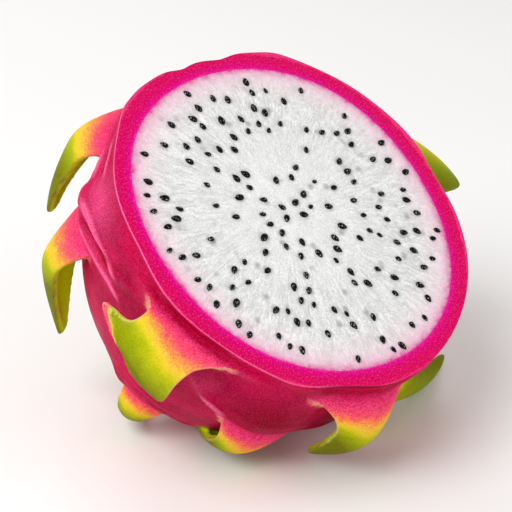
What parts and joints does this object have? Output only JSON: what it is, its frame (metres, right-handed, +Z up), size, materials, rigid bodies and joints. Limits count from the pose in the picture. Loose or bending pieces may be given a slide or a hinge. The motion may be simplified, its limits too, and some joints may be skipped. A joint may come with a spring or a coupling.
{
  "type": "halved dragon fruit",
  "caption": "Half of a white-fleshed dragon fruit, cut across: pink rind with leafy green-tipped bracts round seeded white flesh, tilted on its round side.",
  "frame": {"origin": "middle of the small flat spot that the half rests on", "axes": "+Z up; the cut face looks up and towards -Y, 39.2 degrees from level; +X to the right"},
  "size_m": [0.1174, 0.0995, 0.0836],
  "materials": {
    "rind": "waxy satin fruit skin, pink, with yellow-green bract tips",
    "flesh": "moist white pulp with fine radial fibres and black seeds"
  },
  "bodies": {
    "root": {"rind": "rind", "flesh": "flesh"}
  },
  "joints": []
}
